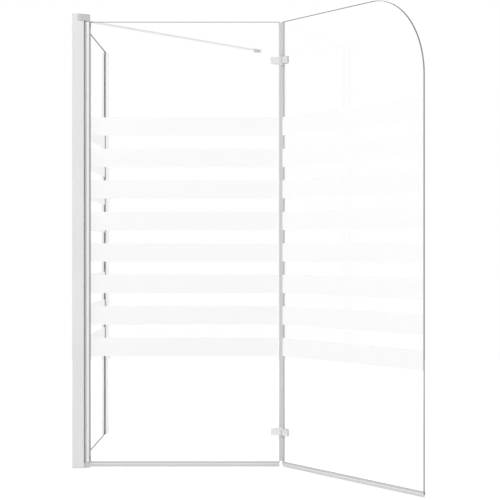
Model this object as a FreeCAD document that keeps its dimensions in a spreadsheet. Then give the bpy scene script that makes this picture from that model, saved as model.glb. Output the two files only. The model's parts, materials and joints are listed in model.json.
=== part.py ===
"""Bath-top shower enclosure: a corner post, a fixed side panel and a two-leaf folding glass screen.

Frame: millimetres. The origin is the centre of the post's foot, on the bath rim. +X runs along the
front of the bath, +Y runs back to the wall and +Z is up. The outer leaf rests folded outwards.
"""
import FreeCAD, Part
import Sketcher
import math
import os
import re

SIZES = [
    # Whole screen
    ("post_height", 1300, "bath rim to the top of the corner post"),
    ("screen_depth", 680, "front face of the post to the wall"),
    ("glass_thick", 5, "safety glass of all three panels"),
    ("leaf_drop", 0.8, "top edge of the two moving panels below the top bracket"),
    ("side_drop", 3.5, "top edge of the side panel below the top bracket"),
    ("glass_arris", 1.1, "bevel along the edges of the panels"),
    ("leaf_bottom", 9, "bottom edge of the two moving panels"),
    ("side_bottom", 18, "bottom edge of the side panel and its channels"),
    ("fold_angle", 56.2, "how far the outer leaf rests folded outwards, degrees"),
    # Corner post
    ("post_width", 34, "side of the square post"),
    ("post_wall", 2, "wall of the extrusion"),
    ("post_round", 1.5, "rounding of the post's long edges"),
    ("side_glass_x", 8, "mid plane of the side panel"),
    ("gasket_thick", 1.5, "glazing gasket on each face of the glass"),
    ("slot_depth", 14, "depth of the post's glazing slot"),
    ("glass_end_gap", 0.5, "glass edge to the floor of its slot"),
    ("notch_x", -1.7, "left side of the notch that takes the top bracket"),
    ("port_r", 1.5, "screw ports in the post"),
    ("port_left_x", 2, "left screw port"),
    ("port_right_x", 12, "right screw port"),
    ("port_y", -12, "both screw ports"),
    ("chamber_front_y", -7, "front of the right-hand chamber"),
    ("groove_depth", 2.5, "groove for the post seal"),
    ("groove_width", 3, "groove for the post seal"),
    ("cap_thick", 3, "plate of the post's top cap"),
    ("cap_plug", 10, "plug of the top cap inside the post"),
    ("cap_fit", 0.2, "play of the plug in the post"),
    # Pivot brackets
    ("pivot_x", 26, "swing axis of the inner leaf"),
    ("bracket_drop", 21, "height of the top bracket"),
    ("bracket_root_x", 8, "where the top bracket starts to taper"),
    ("bracket_end_r", 7, "round end of the top bracket"),
    ("bracket_bevel", 2, "bevel round the top bracket's arm"),
    ("foot_thick", 3, "plate of the bottom bracket under the post"),
    ("base_height", 14.5, "arm of the bottom bracket"),
    ("base_root_half", 7, "half width of the bottom arm at the post"),
    ("base_root_run", 2, "straight run of the bottom arm at the post"),
    ("base_end_r", 6.5, "round end of the bottom arm"),
    ("pivot_pin_r", 2.5, "both pivot pins"),
    ("pin_hold", 12, "pin length held in its bracket"),
    ("pin_reach", 10, "pin length inside the leaf's bush"),
    ("pin_fit", 0.05, "radial play of a turning pin"),
    ("screw_head_r", 2.9, "sunk heads of the bracket screws"),
    ("screw_head_deep", 1.8, "sunk heads of the bracket screws"),
    ("screw_play", 0.05, "radial play of a screw in its hole"),
    ("screw_bite", 16, "screw length inside the post's port"),
    ("head_sink", 0.3, "screw head below its face"),
    # Pivot profile of the inner leaf
    ("pivot_back_r", 7.8, "round back of the pivot profile"),
    ("profile_reach", 4, "swing axis to the glass side of the profile"),
    ("chamber_r", 3.6, "round chamber that takes the bushes"),
    ("bush_length", 14, "bush inside the profile"),
    ("bush_flange", 0.8, "bush flange outside the profile"),
    ("bush_flange_r", 5.6, "bush flange outside the profile"),
    ("leaf_gap_low", 0.3, "bottom bush to its bracket"),
    ("leaf_gap_high", 0.5, "top bush to its bracket"),
    ("bush_fit", 0.1, "plug of the bush in the profile and the glass cut-out"),
    ("gasket_proud", 0.8, "side panel's gaskets past the mouth of their slot"),
    ("profile_lip", 4.1, "leaf's gaskets past the mouth of the profile"),
    ("corner_gap", 1, "glass to the bushes and the bottom arm"),
    ("post_seal_half", 15.4, "half width of the post seal"),
    ("post_seal_gap", 0.4, "post seal to the turning profile"),
    ("seal_end_gap", 0.5, "post seal to the bracket at each end"),
    # Seam between the leaves
    ("seam_x", 580, "fold axis with the leaves straight"),
    ("seam_offset", 7.5, "fold axis in front of the glass mid plane"),
    ("inner_gap", 3.5, "inner glass edge to the fold axis"),
    ("outer_gap", 0.5, "outer glass edge to the fold axis"),
    ("outer_reach", 627.2, "fold axis to the outer leaf's free edge"),
    ("corner_r", 213, "rounded top corner of the outer leaf"),
    ("clip_reach", 4, "seam seal's grip on the glass"),
    ("seal_wall", 1.2, "wall of the clip-on seals"),
    ("seal_fit", 0.1, "clip-on seal to the glass"),
    ("fin_reach", 16.3, "seam seal's fin past the glass edge"),
    ("fin_gap", 0.4, "fin to the face of the closed outer leaf"),
    ("strip_top", 16.6, "top of the bottom drip seals"),
    ("strip_low", 2, "lip of the bottom drip seals"),
    ("strip_floor", 1.5, "floor of the bottom drip seals"),
    ("lip_half", 1.2, "half width of the drip lip at its root"),
    ("lip_lean", 1.2, "how far the drip lip leans inwards"),
    ("lip_tip_half", 0.8, "half width of the drip lip at its tip"),
    ("seal_break", 1, "gap between seam seal and hinge or drip seal"),
    # Glass to glass hinges
    ("hinge_low_z", 102, "centre of the lower hinge"),
    ("hinge_drop", 111.2, "centre of the upper hinge below the glass top"),
    ("hinge_height", 19.5, "all hinge plates"),
    ("inner_plate_reach", 29, "fold axis to the end of the inner leaf's hinge plates"),
    ("outer_plate_reach", 32.5, "fold axis to the end of the outer leaf's hinge plates"),
    ("clamp_reach", 21, "fold axis to the end of the clamp plates on the shower side"),
    ("hinge_thick", 4.2, "outer plates, which carry the knuckles"),
    ("clamp_thick", 3, "inner clamp plates"),
    ("pad_thick", 0.5, "soft pads between plates and glass"),
    ("knuckle_r", 3, "hinge knuckles"),
    ("knuckle_gap", 0.3, "play between knuckles"),
    ("hinge_pin_r", 1.6, "hinge pins"),
    ("hinge_hole_r", 5.5, "hole in the glass round the clamp screw"),
    ("hinge_hole_run", 13.5, "fold axis to the hole in the glass"),
    ("clamp_screw_r", 2, "clamp screws"),
    ("clamp_head_r", 3.6, "flat heads of the clamp screws"),
    ("clamp_head_deep", 1.6, "flat heads of the clamp screws"),
    ("plate_bevel", 0.6, "bevel round the hinge plates"),
    # Wall channels of the side panel
    ("wall_channel_depth", 30, "channel screwed to the wall"),
    ("wall_channel_thick", 1.8, "channel screwed to the wall"),
    ("adjust_width", 19, "adjusting channel"),
    ("channel_fit", 0.2, "wall channel inside the legs of the adjusting channel"),
    ("adjust_front", 58, "front of the adjusting channel before the wall"),
    ("adjust_back", 15, "back of the adjusting channel before the wall"),
    ("adjust_leg", 1.6, "legs and chamber walls of the adjusting channel"),
    ("adjust_slot", 19, "glazing slot of the adjusting channel"),
    ("adjust_floor", 2, "floor behind the glazing slot"),
    ("wall_hole_r", 2.5, "screw holes in the wall channel"),
    ("wall_hole_inset", 100, "outer wall screw holes from the channel's ends"),
    ("lock_screw_r", 1.6, "screws that lock the two channels"),
    ("lock_head_r", 3.2, "flat heads of the locking screws"),
    ("lock_head_deep", 1.6, "flat heads of the locking screws"),
    ("lock_screw_back", 21, "locking screws before the wall"),
    ("lock_tip", 1.5, "screw tip past the inner leg"),
    ("lock_inset", 250, "locking screws from the channel's ends"),
    ("channel_drop", 5, "top of both channels below the top of the side panel"),
    ("channel_cap_thick", 1.5, "cap on top of the channels"),
    # Support bar
    ("bar_r", 3.5, "support bar"),
    ("bar_start_x", 8, "bar's seat in the top bracket"),
    ("bar_start_y", 9, "bar's seat in the top bracket"),
    ("boss_wall", 1.4, "wall of the bar's socket"),
    ("boss_lift", 0.1, "socket above the underside of the top bracket"),
    ("boss_length", 26, "socket of the bar"),
    ("grip_screw_r", 1.6, "grub screw that grips the bar"),
    ("grip_screw_run", 21, "grub screw from the bar's seat"),
    ("foot_x", 511, "wall foot of the bar"),
    ("foot_standoff", 12, "swivel pin to the wall"),
    ("foot_width", 22, "plate of the wall foot"),
    ("foot_height", 9, "plate of the wall foot"),
    ("foot_plate", 3, "plate of the wall foot"),
    ("foot_hole_r", 2.1, "screw holes of the wall foot"),
    ("foot_hole_pitch", 16, "screw holes of the wall foot"),
    ("lug_r", 4, "round end of the foot's lug"),
    ("lug_thick", 5, "foot's lug between the fork's tines"),
    ("swivel_gap", 0.2, "lug to each tine"),
    ("swivel_pin_r", 2, "swivel pin"),
    ("tine_thick", 2, "tines of the fork"),
    ("tine_half", 4.5, "half width of the tines"),
    ("fork_throat", 5.2, "swivel pin to the floor of the fork's slot"),
    ("fork_neck", 9.5, "swivel pin to the end of the bar"),
    ("fork_length", 20, "swivel pin to the mouth of the bar's socket"),
]
NAMES = {name for name, value, note in SIZES}

# Sizes that several pieces share, each worked out from the driving ones
DERIVED = {
    "post_half": "post_width / 2",
    "wall_y": "screen_depth - post_half",
    "bracket_low": "post_height - bracket_drop",
    "glass_top": "bracket_low - leaf_drop",
    "side_top": "bracket_low - side_drop",
    "channel_top": "side_top - channel_drop",
    "glass_half": "glass_thick / 2",
    "slot_half": "glass_half + gasket_thick",
    "slot_left": "side_glass_x - slot_half",
    "slot_right": "side_glass_x + slot_half",
    "slot_floor_y": "post_half - slot_depth",
    "profile_low": "base_height + leaf_gap_low + bush_flange",
    "profile_high": "bracket_low - leaf_gap_high - bush_flange",
    "glazing_low": "profile_low + bush_length + corner_gap",
    "glazing_high": "profile_high - bush_length - corner_gap",
    "leaf_start": "pivot_x + base_end_r + corner_gap",
    "inner_edge": "seam_x - inner_gap",
    "outer_edge": "seam_x + outer_gap",
    "free_edge": "seam_x + outer_reach",
    "clip_inside": "glass_half + seal_fit",
    "clip_outside": "clip_inside + seal_wall",
    "plate_y": "glass_half + pad_thick",
    "hinge_half": "hinge_height / 2",
    "hinge_high_z": "glass_top - hinge_drop",
    "channel_mouth": "wall_y - wall_channel_depth",
    "adjust_half": "adjust_width / 2",
    "channel_half": "adjust_half - adjust_leg - channel_fit",
    "adjust_mouth": "wall_y - adjust_front",
    "adjust_end": "adjust_mouth + adjust_slot",
    "lock_stack": "adjust_leg + channel_fit + wall_channel_thick",
    "wall_hole_low": "side_bottom + wall_hole_inset",
    "wall_hole_pitch": "(channel_top - side_bottom) / 2 - wall_hole_inset",
    "lock_low": "side_bottom + lock_inset",
    "lock_high": "channel_top - lock_inset",
    "boss_r": "bar_r + boss_wall",
    "bar_z": "bracket_low + boss_r + boss_lift",
    "foot_pin_y": "wall_y - foot_standoff",
    "bar_run": "sqrt((foot_x - bar_start_x)^2 + (foot_pin_y - bar_start_y)^2)",
    "fork_half": "lug_thick / 2 + swivel_gap + tine_thick",
    "seal_lip_x": "pivot_x - pivot_back_r - post_seal_gap",
    "seal_lip_half": "post_seal_half - (seal_lip_x - post_half)",
}
PORTS = ("port_left_x", "port_right_x")
HINGES = {"lower": "hinge_low_z", "upper": "hinge_high_z"}
# Screw holes in the wall channel
WALL_HOLES = 3
# Slack for picking edges by their place
HAIR = 1e-3

doc = FreeCAD.newDocument("ShowerEnclosure")
parts = {}


def make_sheet():
    """Write every driving size to the sheet, one row each, under its own name."""
    sheet = doc.addObject("Spreadsheet::Sheet", "Sizes")
    for row, (name, value, note) in enumerate(SIZES, start=1):
        sheet.set(f"A{row}", name)
        sheet.set(f"B{row}", str(value))
        sheet.set(f"C{row}", note)
        sheet.setAlias(f"B{row}", name)
    doc.recompute()
    return sheet


def cells(formula):
    """Point each size name in a formula at its cell of the sheet, and write derived sizes out."""
    def spell(word):
        name = word[0]
        if name in DERIVED:
            return f"({cells(DERIVED[name])})"
        return f"Sizes.{name}" if name in NAMES else name

    return re.sub(r"[a-z][a-z_]*", spell, formula)


def bind(thing, **formulas):
    """Tie properties of an object to formulas of the sheet's sizes."""
    for name, formula in formulas.items():
        thing.setExpression(name, cells(formula))


def place(thing, x, y, z):
    """Tie an object's position to formulas."""
    for axis, formula in zip("xyz", (x, y, z)):
        thing.setExpression(f"Placement.Base.{axis}", cells(formula))


def keep(label, thing):
    """Enter a finished piece under its name."""
    thing.Label = label
    parts[label] = thing
    return thing


def block(x0, x1, y0, y1, z0, z1):
    """A box between two corners."""
    box = doc.addObject("Part::Box", "Block")
    bind(box, Length=f"({x1}) - ({x0})", Width=f"({y1}) - ({y0})", Height=f"({z1}) - ({z0})")
    place(box, x0, y0, z0)
    return box


TURNS = {
    "x": FreeCAD.Rotation(FreeCAD.Vector(0, 1, 0), 90),
    "y": FreeCAD.Rotation(FreeCAD.Vector(1, 0, 0), -90),
    "z": FreeCAD.Rotation(),
}


def rod(axis, radius, length, x, y, z):
    """A round rod that runs from a point along +X, +Y or +Z."""
    cylinder = doc.addObject("Part::Cylinder", "Rod")
    bind(cylinder, Radius=radius, Height=length)
    cylinder.Placement.Rotation = TURNS[axis]
    place(cylinder, x, y, z)
    return cylinder


def join(*pieces):
    fused = doc.addObject("Part::MultiFuse", "Joined")
    fused.Shapes = list(pieces)
    fused.Refine = True
    return fused


def cut(base, *tools):
    """Take every tool away from a base."""
    taken = doc.addObject("Part::Cut", "Cut")
    taken.Base = base
    taken.Tool = tools[0] if len(tools) == 1 else join(*tools)
    return taken


def group(*pieces):
    """Separate solids that share one node."""
    together = doc.addObject("Part::Compound", "Group")
    together.Links = list(pieces)
    return together


def body(label):
    return keep(label, doc.addObject("PartDesign::Body", label))


def sketch_on(owner, plane, offset="0"):
    """A sketch on one of a body's own base planes, moved along the plane's normal."""
    sketch = owner.newObject("Sketcher::SketchObject", f"{owner.Label}_outline")
    base = next(item for item in owner.Origin.OriginFeatures if item.Role == plane)
    sketch.AttachmentSupport = [(base, "")]
    sketch.MapMode = "FlatFace"
    sketch.setExpression("AttachmentOffset.Base.z", cells(offset))
    return sketch


def fix(sketch, kind, where, formula):
    """A driving dimension of a sketch, tied to a formula."""
    number = sketch.addConstraint(Sketcher.Constraint(kind, *where, 1.0))
    sketch.setExpression(f"Constraints[{number}]", cells(formula))


def fix_point(sketch, edge, end, x, y):
    """Hold one point of an edge at a place."""
    fix(sketch, "DistanceX", (-1, 1, edge, end), x)
    fix(sketch, "DistanceY", (-1, 1, edge, end), y)


def outline(sketch, corners):
    """A closed outline of straight edges through corners given as formulas."""
    count = len(corners)
    turn = 2 * math.pi / count
    ring = [FreeCAD.Vector(math.cos(turn * i), math.sin(turn * i), 0) for i in range(count)]
    first = sketch.GeometryCount
    for i in range(count):
        sketch.addGeometry(Part.LineSegment(ring[i], ring[(i + 1) % count]))
    for i in range(count):
        after = first + (i + 1) % count
        sketch.addConstraint(Sketcher.Constraint("Coincident", first + i, 2, after, 1))
    for i, (x, y) in enumerate(corners):
        fix_point(sketch, first + i, 1, x, y)


def rectangle(sketch, x0, x1, y0, y1):
    outline(sketch, [(x0, y0), (x1, y0), (x1, y1), (x0, y1)])


def circle(sketch, radius, x, y):
    edge = sketch.addGeometry(Part.Circle(FreeCAD.Vector(0, 0, 0), FreeCAD.Vector(0, 0, 1), 1))
    fix(sketch, "Radius", (edge,), radius)
    fix_point(sketch, edge, 3, x, y)


def pad(owner, sketch, length):
    feature = owner.newObject("PartDesign::Pad", f"{owner.Label}_pad")
    feature.Profile = sketch
    bind(feature, Length=length)
    return feature


def pocket(owner, sketch, length, upwards=False):
    """Cut a sketch's area away, against its normal or, upwards, along it."""
    feature = owner.newObject("PartDesign::Pocket", f"{owner.Label}_pocket")
    feature.Profile = sketch
    feature.Reversed = upwards
    bind(feature, Length=length)
    return feature


def finish_edges(owner, feature, kind, chosen, **sizes):
    """Put a Fillet or a Chamfer on the edges of a feature that a test picks."""
    doc.recompute()
    names = [f"Edge{i}" for i, edge in enumerate(feature.Shape.Edges, start=1) if chosen(edge)]
    dressed = owner.newObject(f"PartDesign::{kind}", f"{owner.Label}_{kind}")
    dressed.Base = (feature, names)
    bind(dressed, **sizes)
    return dressed


def is_upright(edge):
    box = edge.BoundBox
    return box.XLength < HAIR and box.YLength < HAIR


def arm_outline(sketch, left_x, half, root_x, end_r):
    """Plan of a bracket: square at the left, tapering to a round end about the swing axis."""
    pivot = FreeCAD.Vector(size("pivot_x"), 0, 0)
    radius = size(end_r)
    corners = [FreeCAD.Vector(0, 0, 0), FreeCAD.Vector(1, 0, 0), pivot - FreeCAD.Vector(0, radius, 0)]
    mirror = [FreeCAD.Vector(p.x, -p.y + 1, 0) for p in reversed(corners)]
    for start, end in ((corners[0], corners[1]), (corners[1], corners[2])):
        sketch.addGeometry(Part.LineSegment(start, end))
    ring = Part.Circle(pivot, FreeCAD.Vector(0, 0, 1), radius)
    sketch.addGeometry(Part.ArcOfCircle(ring, -math.pi / 2, math.pi / 2))
    for start, end in ((mirror[0], mirror[1]), (mirror[1], mirror[2]), (mirror[2], corners[0])):
        sketch.addGeometry(Part.LineSegment(start, end))
    joints = (("Coincident", 0, 1), ("Tangent", 1, 2), ("Tangent", 2, 3), ("Coincident", 3, 4),
              ("Coincident", 4, 5), ("Coincident", 5, 0))
    for kind, before, after in joints:
        sketch.addConstraint(Sketcher.Constraint(kind, before, 2, after, 1))
    fix_point(sketch, 0, 1, left_x, f"-{half}")
    fix_point(sketch, 1, 1, root_x, f"-{half}")
    fix_point(sketch, 2, 3, "pivot_x", "0")
    fix(sketch, "Radius", (2,), end_r)
    fix_point(sketch, 4, 1, root_x, half)
    fix_point(sketch, 5, 1, left_x, half)


def size(name):
    return float(sheet.get(name))


# Corner post and its ends
def make_corner_post():
    """Square extrusion with a glazing slot behind, a seal groove at the right and a top notch."""
    post = body("corner_post")
    groove_x = "post_half - groove_depth"
    section = sketch_on(post, "XY_Plane", "foot_thick")
    outline(section, [
        ("-post_half", "-post_half"), ("post_half", "-post_half"),
        ("post_half", "-groove_width / 2"), (groove_x, "-groove_width / 2"),
        (groove_x, "groove_width / 2"), ("post_half", "groove_width / 2"),
        ("post_half", "post_half"), ("slot_right", "post_half"), ("slot_right", "slot_floor_y"),
        ("slot_left", "slot_floor_y"), ("slot_left", "post_half"), ("-post_half", "post_half"),
    ])
    rectangle(section, "-post_half + post_wall", "notch_x - post_wall",
              "-post_half + post_wall", "post_half - post_wall")
    rectangle(section, "slot_left", f"{groove_x} - post_wall", "chamber_front_y",
              "slot_floor_y - post_wall")
    for port_x in PORTS:
        circle(section, "port_r", port_x, "port_y")
    column = pad(post, section, "post_height - cap_thick - foot_thick")
    reach = size("post_width") / 2 - HAIR

    def at_corner(edge):
        middle = edge.CenterOfMass
        return is_upright(edge) and abs(middle.x) > reach and abs(middle.y) > reach

    finish_edges(post, column, "Fillet", at_corner, Radius="post_round")
    notch = sketch_on(post, "XY_Plane", "bracket_low")
    rectangle(notch, "notch_x", "post_half + post_wall", "-post_half - post_wall",
              "post_half + post_wall")
    pocket(post, notch, "bracket_drop", upwards=True)


def make_post_top_cap():
    """Plate over the left part of the post with a plug in its chamber."""
    low = "post_height - cap_thick"
    plate = block("-post_half", "notch_x", "-post_half", "post_half", low, "post_height")
    plug = block("-post_half + post_wall + cap_fit", "notch_x - post_wall - cap_fit",
                 "-post_half + post_wall + cap_fit", "post_half - post_wall - cap_fit",
                 f"{low} - cap_plug", low)
    keep("post_top_cap", join(plate, plug))


def bar_line():
    """Heading of the support bar from +X, in degrees, and its seat in the top bracket."""
    seat_z = (size("post_height") - size("bracket_drop") + size("bar_r") + size("boss_wall")
              + size("boss_lift"))
    seat = FreeCAD.Vector(size("bar_start_x"), size("bar_start_y"), seat_z)
    wall_y = size("screen_depth") - size("post_width") / 2
    heading = math.atan2(wall_y - size("foot_standoff") - seat.y, size("foot_x") - seat.x)
    return math.degrees(heading), seat


def along_bar(thing, turned=False):
    """Lay a piece that was built along +X from the origin on the support bar's line."""
    heading, seat = bar_line()
    line = FreeCAD.Placement(seat, FreeCAD.Rotation(FreeCAD.Vector(0, 0, 1), heading))
    thing.Placement = line.multiply(FreeCAD.Placement(FreeCAD.Vector(), TURNS["x"])) if turned else line
    return thing


def plain_rod(radius, length):
    """A rod at the origin, to be laid on the bar's line."""
    cylinder = doc.addObject("Part::Cylinder", "Rod")
    bind(cylinder, Radius=radius, Height=length)
    return cylinder


def make_top_pivot_bracket():
    """Cast arm in the post's notch that holds the upper pivot pin and the bar's socket."""
    core = doc.addObject("PartDesign::Body", "TopBracketCore")
    plan = sketch_on(core, "XY_Plane", "bracket_low")
    arm_outline(plan, "notch_x", "post_half", "bracket_root_x", "bracket_end_r")
    arm = pad(core, plan, "bracket_drop")
    root_x = size("bracket_root_x") + HAIR

    def on_arm_rim(edge):
        return edge.BoundBox.ZLength < HAIR and edge.CenterOfMass.x > root_x

    finish_edges(core, arm, "Chamfer", on_arm_rim, Size="bracket_bevel")
    boss = along_bar(plain_rod("boss_r", "boss_length"), turned=True)
    bore = along_bar(plain_rod("bar_r", "boss_length + boss_r"), turned=True)
    heading, seat = bar_line()
    ahead = FreeCAD.Rotation(FreeCAD.Vector(0, 0, 1), heading).multVec(FreeCAD.Vector(1, 0, 0))
    grip_spot = seat + ahead * size("grip_screw_run")
    grip_bore = plain_rod("grip_screw_r", "boss_r + bar_r")
    grip_bore.Placement.Base = grip_spot
    pin_bore = rod("z", "pivot_pin_r", "pin_hold", "pivot_x", "0", "bracket_low")
    clear = rod("z", "port_r + screw_play", "bracket_drop", "port_right_x", "port_y", "bracket_low")
    sink = rod("z", "screw_head_r + screw_play", "screw_head_deep + head_sink", "port_right_x", "port_y",
               "post_height - screw_head_deep - head_sink")
    keep("top_pivot_bracket", cut(join(core, boss), bore, pin_bore, grip_bore, clear, sink))
    grip = plain_rod("grip_screw_r - screw_play", "boss_wall")
    grip.Placement.Base = grip_spot + FreeCAD.Vector(0, 0, size("bar_r"))
    keep("bar_grip_screw", grip)


def make_bottom_pivot_bracket():
    """Foot plate under the post with an arm that carries the lower pivot pin."""
    foot = doc.addObject("PartDesign::Body", "FootPlate")
    square = sketch_on(foot, "XY_Plane")
    rectangle(square, "-post_half", "post_half", "-post_half", "post_half")
    plate = pad(foot, square, "foot_thick")
    finish_edges(foot, plate, "Fillet", is_upright, Radius="post_round")
    arm = doc.addObject("PartDesign::Body", "FootArm")
    plan = sketch_on(arm, "XY_Plane")
    arm_outline(plan, "post_half", "base_root_half", "post_half + base_root_run", "base_end_r")
    pad(arm, plan, "base_height")
    pin_bore = rod("z", "pivot_pin_r", "pin_hold", "pivot_x", "0", "base_height - pin_hold")
    holes = []
    for port_x in PORTS:
        holes.append(rod("z", "port_r + screw_play", "foot_thick", port_x, "port_y", "0"))
        holes.append(rod("z", "screw_head_r + screw_play", "screw_head_deep + head_sink", port_x,
                         "port_y", "0"))
    keep("bottom_pivot_bracket", cut(join(foot, arm), pin_bore, *holes))


def make_pivot_pins():
    """Dowels that stand out of the brackets into the leaf's bushes."""
    length = "pin_hold + pin_reach"
    keep("top_pivot_pin", rod("z", "pivot_pin_r", length, "pivot_x", "0", "bracket_low - pin_reach"))
    keep("bottom_pivot_pin", rod("z", "pivot_pin_r", length, "pivot_x", "0", "base_height - pin_hold"))


def make_bracket_screws():
    """Sunk-head screws into the post's ports: one through the notched top bracket, two from below."""
    shank_r = "port_r - screw_play"
    head_r = "screw_head_r - screw_play"
    tip = "bracket_low - screw_bite"
    seat = "post_height - screw_head_deep - head_sink"
    shank = rod("z", shank_r, f"{seat} - ({tip})", "port_right_x", "port_y", tip)
    head = rod("z", head_r, "screw_head_deep", "port_right_x", "port_y", seat)
    keep("top_bracket_screw", join(shank, head))
    lower = [join(rod("z", shank_r, "foot_thick + screw_bite - head_sink", port_x, "port_y", "head_sink"),
                  rod("z", head_r, "screw_head_deep", port_x, "port_y", "head_sink")) for port_x in PORTS]
    keep("bottom_bracket_screws", group(*lower))


def make_post_seal():
    """Wide rubber strip with a foot in the post's groove, close to the turning profile."""
    seal = body("post_seal")
    low = "base_height + seal_end_gap"
    foot_x = "post_half - groove_depth"
    section = sketch_on(seal, "XY_Plane", low)
    outline(section, [
        ("post_half", "-post_seal_half"), ("seal_lip_x", "-seal_lip_half"),
        ("seal_lip_x", "seal_lip_half"), ("post_half", "post_seal_half"),
        ("post_half", "groove_width / 2"), (foot_x, "groove_width / 2"),
        (foot_x, "-groove_width / 2"), ("post_half", "-groove_width / 2"),
    ])
    pad(seal, section, f"bracket_low - seal_end_gap - ({low})")


# Fixed side panel and its wall channels
def add_arris(owner, panel, normal):
    """Bevel the outline of a panel's two large faces, but not the rims of its holes."""
    hole_r = size("hinge_hole_r")

    def on_outline(edge):
        flat = getattr(edge.BoundBox, f"{normal}Length") < HAIR
        return flat and abs(getattr(edge.Curve, "Radius", 0) - hole_r) > HAIR

    finish_edges(owner, panel, "Chamfer", on_outline, Size="glass_arris")


def make_side_glass():
    """Plain rectangular panel from the post's slot to the adjusting channel."""
    glass = body("side_glass")
    shape = sketch_on(glass, "YZ_Plane", "side_glass_x - glass_half")
    rectangle(shape, "slot_floor_y + glass_end_gap", "adjust_end - glass_end_gap", "side_bottom",
              "side_top")
    add_arris(glass, pad(glass, shape, "glass_thick"), "X")


def make_side_gaskets():
    """Two glazing strips at each upright edge of the side panel."""
    def pair(y0, y1, top):
        return group(*[block(x, f"{x} + gasket_thick", y0, y1, "side_bottom", top)
                       for x in ("slot_left", "side_glass_x + glass_half")])

    keep("side_glass_post_gaskets", pair("slot_floor_y + glass_end_gap", "post_half + gasket_proud",
                                         "side_top"))
    keep("side_glass_wall_gaskets", pair("adjust_mouth - gasket_proud", "adjust_end - glass_end_gap",
                                         "channel_top"))


def make_wall_channel():
    """Open channel screwed to the wall, with three screw holes and the locking screws' holes."""
    channel = doc.addObject("PartDesign::Body", "WallChannelCore")
    left = "side_glass_x - channel_half"
    right = "side_glass_x + channel_half"
    floor = "wall_y - wall_channel_thick"
    section = sketch_on(channel, "XY_Plane", "side_bottom")
    outline(section, [
        (left, "wall_y"), (left, "channel_mouth"), (f"{left} + wall_channel_thick", "channel_mouth"),
        (f"{left} + wall_channel_thick", floor), (f"{right} - wall_channel_thick", floor),
        (f"{right} - wall_channel_thick", "channel_mouth"), (right, "channel_mouth"), (right, "wall_y"),
    ])
    pad(channel, section, "channel_top - side_bottom")
    holes = [rod("y", "wall_hole_r", "wall_channel_thick", "side_glass_x", floor,
                 f"wall_hole_low + {i} * wall_hole_pitch") for i in range(WALL_HOLES)]
    keep("wall_channel", cut(channel, *holes, *lock_screw_bores()))


def lock_screw_spots():
    """Where the two locking screws stand: before the wall, and above the rim."""
    return [("wall_y - lock_screw_back", height) for height in ("lock_low", "lock_high")]


def lock_screw_bores():
    """Holes for the locking screws through the shower-side legs of both channels."""
    return [rod("x", "lock_screw_r + screw_play", "lock_stack", "side_glass_x + adjust_half - lock_stack",
                *spot) for spot in lock_screw_spots()]


def make_adjusting_channel():
    """Channel whose rear legs slide over the wall channel: glazing slot, hollow cheeks, open back."""
    channel = doc.addObject("PartDesign::Body", "AdjustingChannelCore")
    left = "side_glass_x - adjust_half"
    right = "side_glass_x + adjust_half"
    leg_left = f"{left} + adjust_leg"
    leg_right = f"{right} - adjust_leg"
    back = "wall_y - adjust_back"
    section = sketch_on(channel, "XY_Plane", "side_bottom")
    outline(section, [
        (left, "adjust_mouth"), ("slot_left", "adjust_mouth"), ("slot_left", "adjust_end"),
        ("slot_right", "adjust_end"), ("slot_right", "adjust_mouth"), (right, "adjust_mouth"),
        (right, back), (leg_right, back), (leg_right, "adjust_end + adjust_floor"),
        (leg_left, "adjust_end + adjust_floor"), (leg_left, back), (left, back),
    ])
    for x0, x1 in ((leg_left, "slot_left - adjust_leg"), ("slot_right + adjust_leg", leg_right)):
        rectangle(section, x0, x1, "adjust_mouth + adjust_leg", "adjust_end - adjust_leg")
    pad(channel, section, "channel_top - side_bottom")
    keep("adjusting_channel", cut(channel, *lock_screw_bores()))


def make_channel_lock_screws():
    """Flat-head screws from the shower side that hold the two channels together."""
    outside = "side_glass_x + adjust_half"
    length = "lock_stack + lock_tip"
    screws = [join(rod("x", "lock_screw_r", length, f"{outside} - ({length})", *spot),
                   rod("x", "lock_head_r", "lock_head_deep", outside, *spot))
              for spot in lock_screw_spots()]
    keep("channel_lock_screws", group(*screws))


def make_channel_top_cap():
    """Thin moulded cap over the tops of both channels, notched for the glass and its gaskets."""
    high = "channel_top + channel_cap_thick"
    plate = block("side_glass_x - adjust_half", "side_glass_x + adjust_half", "adjust_mouth", "wall_y",
                  "channel_top", high)
    notch = block("slot_left", "slot_right", "adjust_mouth", "adjust_end", "channel_top", high)
    keep("channel_top_cap", cut(plate, notch))


# Support bar from the post's top bracket to the wall
def make_support_bar():
    """Round bar with a fork at its far end, laid along the bar's line."""
    keep("support_bar", along_bar(plain_rod("bar_r", "bar_run - fork_neck"), turned=True))
    mouth = "bar_run - fork_length"
    shank = block(mouth, "bar_run", "-tine_half", "tine_half", "-fork_half", "fork_half")
    nose = rod("z", "tine_half", "2 * fork_half", "bar_run", "0", "-fork_half")
    gap_half = "(lug_thick / 2 + swivel_gap)"
    gap = block("bar_run - fork_throat", "bar_run + 2 * tine_half", "-2 * tine_half", "2 * tine_half",
                f"-{gap_half}", gap_half)
    pin_bore = rod("z", "swivel_pin_r", "2 * fork_half", "bar_run", "0", "-fork_half")
    socket = rod("x", "bar_r", "fork_length - fork_neck", mouth, "0", "0")
    keep("bar_fork", along_bar(cut(join(shank, nose), gap, pin_bore, socket)))


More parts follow.
